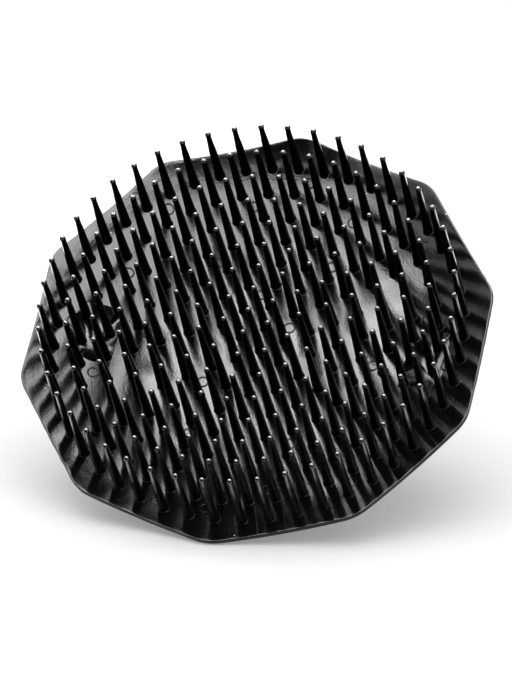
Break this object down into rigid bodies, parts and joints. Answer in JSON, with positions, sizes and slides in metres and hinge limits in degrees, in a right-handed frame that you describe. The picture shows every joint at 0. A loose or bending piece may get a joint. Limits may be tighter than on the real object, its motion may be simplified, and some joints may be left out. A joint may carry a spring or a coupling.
{
  "type": "scalp massager brush",
  "caption": "Hand-held scalp massager: a dished ten-sided black plate with concentric rings of tapered round-tipped pins, and a finger bow on its back.",
  "frame": {"origin": "middle of the bow's crown, on its outer face, which is the lowest face of the object", "axes": "+Z along the pins, away from the hand; +Y through one corner of the ten-sided plate; +X along the bow from one foot to the other"},
  "size_m": [0.0866, 0.0902, 0.0428],
  "materials": {
    "plate_plastic": "satin black moulded plastic, fine grain with flow marks",
    "bow_plastic": "satin black moulded plastic"
  },
  "bodies": {
    "root": {"tooth_plate": "plate_plastic", "centre_pin": "plate_plastic", "pin_ring_1": "plate_plastic", "pin_ring_2": "plate_plastic", "pin_ring_3": "plate_plastic", "pin_ring_4": "plate_plastic", "pin_ring_5": "plate_plastic", "pin_ring_6": "plate_plastic", "pin_ring_7": "plate_plastic", "pin_ring_8": "plate_plastic", "grip_bow": "bow_plastic"}
  },
  "joints": []
}
